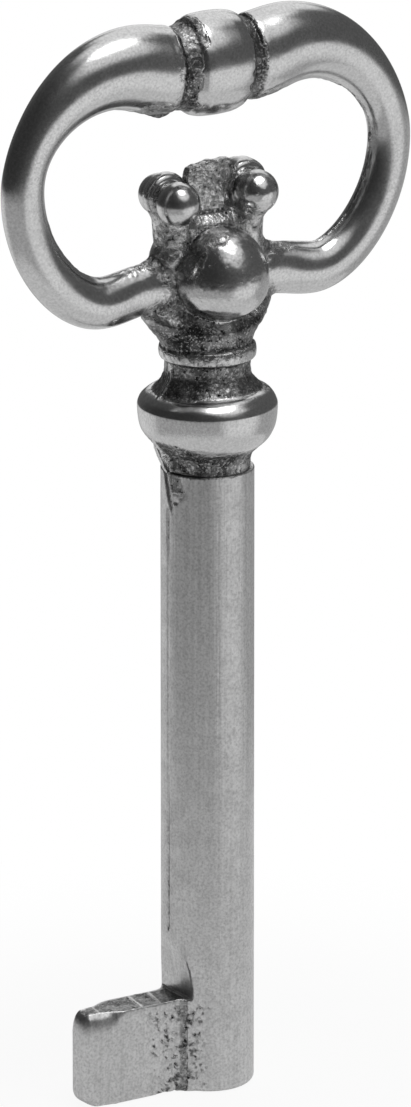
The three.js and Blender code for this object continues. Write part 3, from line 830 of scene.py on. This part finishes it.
def steel(name, polish, wear, bump, streaks=0.0):
    """A steel finish: how polished, how much wear, how deep its grain, and lengthwise streaks if it was ground.
    """
    material = bpy.data.materials.new(name)
    material.use_nodes = True
    tree = material.node_tree
    tree.nodes.clear()
    link = tree.links.new
    out = add(tree, "ShaderNodeOutputMaterial", (900, 0))
    shader = add(tree, "ShaderNodeBsdfPrincipled", (600, 0), {"Metallic": 1.0})
    link(shader.outputs["BSDF"], out.inputs["Surface"])
    # The rough value darkens the colour as well as roughening it; in places it carries painted shade and
    # painted highlights.
    cast = add(tree, "ShaderNodeAttribute", (-300, 200), attribute_name="rough")
    group = add(tree, "ShaderNodeGroup", (0, 0))
    group.node_tree = STEEL_SKIN
    group.inputs["Wear"].default_value = wear
    group.inputs["Polish"].default_value = polish
    link(cast.outputs["Fac"], group.inputs["Cast"])
    height, colour, rough = group.outputs["Height"], group.outputs["Color"], group.outputs["Roughness"]
    if streaks:
        where = add(tree, "ShaderNodeTexCoord", (-700, -300))
        along = add(tree, "ShaderNodeMapping", (-500, -300), {"Scale": (3400, 3400, 60)})
        link(where.outputs["Object"], along.inputs["Vector"])
        lines = add(tree, "ShaderNodeTexNoise", (-300, -300), {"Scale": 1.0, "Detail": 2.0})
        link(along.outputs["Vector"], lines.inputs["Vector"])
        line = maths(tree, "SUBTRACT", (-100, -300), lines.outputs["Fac"], 0.5)

        def part_of_line(place, share):
            return maths(tree, "MULTIPLY", place, line, share)

        height = maths(tree, "ADD", (250, -250), height, part_of_line((100, -300), streaks))
        rough = maths(tree, "ADD", (250, -100), rough, part_of_line((100, -150), 0.25 * streaks))
        tint = add(tree, "ShaderNodeMix", (300, 200), data_type="RGBA", blend_type="MULTIPLY")
        tint.inputs["Factor"].default_value = 1.0
        grey = add(tree, "ShaderNodeCombineColor", (150, 300))
        level = maths(tree, "ADD", (50, 350), part_of_line((0, 350), 0.6 * streaks), 1.0)
        for socket in grey.inputs:
            link(level, socket)
        link(colour, tint.inputs[6])
        link(grey.outputs["Color"], tint.inputs[7])
        colour = tint.outputs[2]
    link(colour, shader.inputs["Base Color"])
    link(rough, shader.inputs["Roughness"])
    bumped = add(tree, "ShaderNodeBump", (350, -250), {"Strength": bump, "Distance": 0.00006})
    link(height, bumped.inputs["Height"])
    link(bumped.outputs["Normal"], shader.inputs["Normal"])
    return material


polished_steel = steel("polished_steel", polish=0.2, wear=0.33, bump=1.0)
satin_steel = steel("satin_steel", polish=0.34, wear=0.5, bump=0.7, streaks=0.9)


# ---- Pieces ----

# The width of a mesh cell, its height along the shank, and the level between the bow's crown and its head.
CELL = 0.12
SHANK_RISE = 0.2
CROWN_LEVEL = 68.5


def crown(centre):
    return centre.z > CROWN_LEVEL


def below_crown(centre):
    return centre.z < CROWN_LEVEL


def at_bit(centre):
    return centre.z < BIT_TOP + 0.5 and centre.x < -2


def upright_cut(x, outward, region=None):
    """A cut across the bow's plane, in the whole piece or in one region of it."""
    return (x, 0, 0), (outward, 0, 0), region


def level_cut(z, outward):
    return (0, 0, z), (0, 0, outward), None


def arm_cuts(side):
    return upright_cut(side * BEAD_HALF, -side, crown), upright_cut(side * HEAD_HALF, -side, below_crown)


# Each piece's node, form, box, height of a cell, cuts, material and slot.
PIECES = (
    ("left_bow_arm", upper_casting, (-16.8, -3.2, 53.5), (-2.6, 3.2, 77.6), CELL,
     arm_cuts(-1), polished_steel, "polished_steel"),
    ("right_bow_arm", upper_casting, (2.6, -3.2, 53.5), (16.8, 3.2, 77.6), CELL,
     arm_cuts(1), polished_steel, "polished_steel"),
    ("crown_bead", upper_casting, (-3.6, -3.4, 69.2), (3.6, 3.4, 77.6), CELL,
     (upright_cut(BEAD_HALF, 1), upright_cut(-BEAD_HALF, -1)), polished_steel, "polished_steel"),
    ("bow_head", upper_casting, (-5.9, -5.6, 51.4), (5.9, 5.6, 67.4), CELL,
     (upright_cut(HEAD_HALF, 1), upright_cut(-HEAD_HALF, -1), level_cut(HEAD_FOOT, -1)),
     polished_steel, "cast_steel"),
    ("collar", upper_casting, (-5.2, -5.2, 44.2), (5.2, 5.2, 52.6), CELL,
     (level_cut(HEAD_FOOT, 1), level_cut(SHANK_TOP, -1)), polished_steel, "polished_steel"),
    ("shank", lower_part, (-3.8, -3.8, -0.6), (3.8, 3.8, 45.4), SHANK_RISE,
     (upright_cut(BIT_SEAT, -1, at_bit),), satin_steel, "satin_steel"),
    ("bit", lower_part, (-11.4, -2.4, -0.6), (-2.3, 2.4, 7.4), CELL,
     (upright_cut(BIT_SEAT, 1),), satin_steel, "satin_steel"),
)

for node, form, low, high, rise, cuts, material, slot in PIECES:
    piece = make_piece(node + "_steel", form, low, high, (CELL, CELL, rise), cuts)
    piece.data.materials.append(material)
    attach(piece, BODY)
    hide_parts(node)


# ---- Floor, studio and camera ----

# The floor's radius in metres, the share of its white that the steel mirrors, and the height the lamp faces.
FLOOR_RADIUS = 0.075
MIRRORED_WHITE = 0.45
LIT_HEIGHT = 0.06


def white_share(tree, place):
    """How much of the white background a ray shows: a camera ray all of it, a mirrored ray a part."""
    path = add(tree, "ShaderNodeLightPath", place)
    beside = (place[0] + 200, place[1] - 150)
    mirrored = maths(tree, "MULTIPLY", beside, path.outputs["Is Glossy Ray"], MIRRORED_WHITE)
    rays = maths(tree, "ADD", (place[0] + 200, place[1]), path.outputs["Is Camera Ray"], mirrored)
    return maths(tree, "ADD", (place[0] + 400, place[1]), rays, path.outputs["Is Transmission Ray"], True)


def floor():
    """A pale round floor that keeps the key's shadow and fades into the white background."""
    work = bmesh.new()
    bmesh.ops.create_circle(work, cap_ends=True, segments=96, radius=FLOOR_RADIUS)
    mesh = bpy.data.meshes.new("floor")
    work.to_mesh(mesh)
    work.free()
    disc = bpy.data.objects.new("floor", mesh)
    disc.location = (0, 0, -0.00002)
    bpy.context.scene.collection.objects.link(disc)
    material = bpy.data.materials.new("pale_floor")
    material.use_nodes = True
    tree = material.node_tree
    tree.nodes.clear()
    out = add(tree, "ShaderNodeOutputMaterial", (600, 0))
    matt = add(tree, "ShaderNodeBsdfDiffuse", (0, 100), {"Color": (0.86, 0.86, 0.86, 1)})
    white = add(tree, "ShaderNodeEmission", (0, -100), {"Color": (1, 1, 1, 1), "Strength": 1.0})
    blend = add(tree, "ShaderNodeMixShader", (400, 0))
    rays = white_share(tree, (-700, 200))
    where = add(tree, "ShaderNodeTexCoord", (-700, -200))
    length = add(tree, "ShaderNodeVectorMath", (-500, -200), operation="LENGTH")
    tree.links.new(where.outputs["Object"], length.inputs[0])
    far = ranged(tree, (-300, -200), length.outputs["Value"], 0.012, 0.05, 0.92, 1.0)
    tree.links.new(maths(tree, "MULTIPLY", (100, 250), rays, far), blend.inputs["Fac"])
    tree.links.new(matt.outputs[0], blend.inputs[1])
    tree.links.new(white.outputs[0], blend.inputs[2])
    tree.links.new(blend.outputs[0], out.inputs["Surface"])
    mesh.materials.append(material)


def sector(tree, place, direction, towards, low, high):
    """How far a direction points towards another, from 0 at low to 1 at high."""
    dot = add(tree, "ShaderNodeVectorMath", place, operation="DOT_PRODUCT")
    tree.links.new(direction, dot.inputs[0])
    dot.inputs[1].default_value = towards
    return ranged(tree, (place[0] + 200, place[1]), dot.outputs["Value"], low, high)


def towards(around, up):
    """The direction at an angle around from the front, and up from level, in degrees."""
    around, up = math.radians(around), math.radians(up)
    return math.sin(around) * math.cos(up), -math.cos(around) * math.cos(up), math.sin(up)


def studio():
    """A white background, and the room that the steel mirrors: light below and behind, dark at the front."""
    world = bpy.data.worlds.new("studio")
    bpy.context.scene.world = world
    world.use_nodes = True
    tree = world.node_tree
    tree.nodes.clear()
    out = add(tree, "ShaderNodeOutputWorld", (1400, 0))
    sky = add(tree, "ShaderNodeBackground", (1200, 0))
    tree.links.new(sky.outputs[0], out.inputs["Surface"])
    where = add(tree, "ShaderNodeTexCoord", (-900, 0)).outputs["Generated"]
    level = add(tree, "ShaderNodeSeparateXYZ", (-700, 0))
    tree.links.new(where, level.inputs[0])
    right = sector(tree, (-700, 300), where, towards(60, 0), 0.3, 0.95)
    tilt = maths(tree, "MULTIPLY", (-400, 250), right, -0.1)
    height = maths(tree, "ADD", (-300, 100), level.outputs["Z"], tilt)
    left = sector(tree, (-700, 500), where, towards(-160, -10), 0.75, 0.97)
    front = sector(tree, (-700, 700), where, towards(27, -15), 0.72, 0.97)
    from_front = ranged(tree, (-100, 300), front, 0.0, 1.0, 0.47, 0.9)
    from_left = maths(tree, "MULTIPLY", (-100, 500), left, 0.35)
    strength = maths(tree, "ADD", (0, 350), from_front, from_left)
    low = maths(tree, "MULTIPLY", (50, 100), ranged(tree, (-100, 100), height, -0.13, -0.28), strength)
    level_behind = sector(tree, (-700, -250), where, towards(148, 12), 0.955, 0.99)
    high_behind = sector(tree, (-700, -350), where, towards(138, 44), 0.88, 0.96)
    behind = maths(tree, "MAXIMUM", (-300, -250), level_behind, high_behind)
    ceiling = sector(tree, (-700, -450), where, towards(120, 76), 0.84, 0.96)
    glow = sector(tree, (-700, -650), where, towards(15, 54), 0.83, 0.965)
    glow = maths(tree, "MULTIPLY", (-300, -650), glow, 0.92)
    above = maths(tree, "MAXIMUM", (-200, -300), behind, ceiling)
    bright = maths(tree, "MAXIMUM", (-100, -300), above, glow)
    light = maths(tree, "MAXIMUM", (200, 0), low, bright)
    dark = ranged(tree, (0, -500), level.outputs["X"], -0.9, 0.4, 0.04, 0.115)
    light = maths(tree, "MAXIMUM", (400, 0), light, dark)
    rays = add(tree, "ShaderNodeLightPath", (400, 300))
    seen = rays.outputs["Is Camera Ray"], rays.outputs["Is Transmission Ray"]
    background = maths(tree, "MAXIMUM", (550, 200), *seen)
    brightness = maths(tree, "MAXIMUM", (700, 0), light, background)
    colour = add(tree, "ShaderNodeCombineColor", (950, 0))
    for socket in colour.inputs:
        tree.links.new(brightness, socket)
    tree.links.new(colour.outputs[0], sky.inputs["Color"])


def softbox(name, direction, distance, size, power):
    """A round lamp that faces the upper part of the key."""
    lamp = bpy.data.lights.new(name, "AREA")
    lamp.shape = "DISK"
    lamp.size = size
    lamp.energy = power
    thing = bpy.data.objects.new(name, lamp)
    direction = Vector(direction)
    thing.location = Vector((0, 0, LIT_HEIGHT)) + direction * distance
    thing.rotation_euler = direction.to_track_quat("Z", "Y").to_euler()
    bpy.context.scene.collection.objects.link(thing)


# The camera's place: degrees around from the front and up, distance in metres, and the height it looks at.
CAMERA_AROUND, CAMERA_UP = -32.76, 16.76
CAMERA_DISTANCE = 0.7965
AIM_HEIGHT = 0.040


def camera():
    """A long lens to the left of the front and a little above, aimed at the middle of the key."""
    lens = bpy.data.cameras.new("camera")
    lens.lens = 374.97
    lens.sensor_width = 36
    lens.shift_x, lens.shift_y = -0.00175, -0.01994
    lens.clip_start, lens.clip_end = 0.01, 20
    thing = bpy.data.objects.new("camera", lens)
    back = Vector(towards(CAMERA_AROUND, CAMERA_UP))
    thing.location = Vector((0, 0, AIM_HEIGHT)) + back * CAMERA_DISTANCE
    thing.rotation_mode = "QUATERNION"
    thing.rotation_quaternion = (-back).to_track_quat("-Z", "Y")
    bpy.context.scene.collection.objects.link(thing)
    bpy.context.scene.camera = thing


floor()
studio()
softbox("overhead_softbox", towards(20, 73), distance=0.5, size=0.26, power=0.6)
camera()
bpy.context.scene.view_settings.view_transform = "Standard"
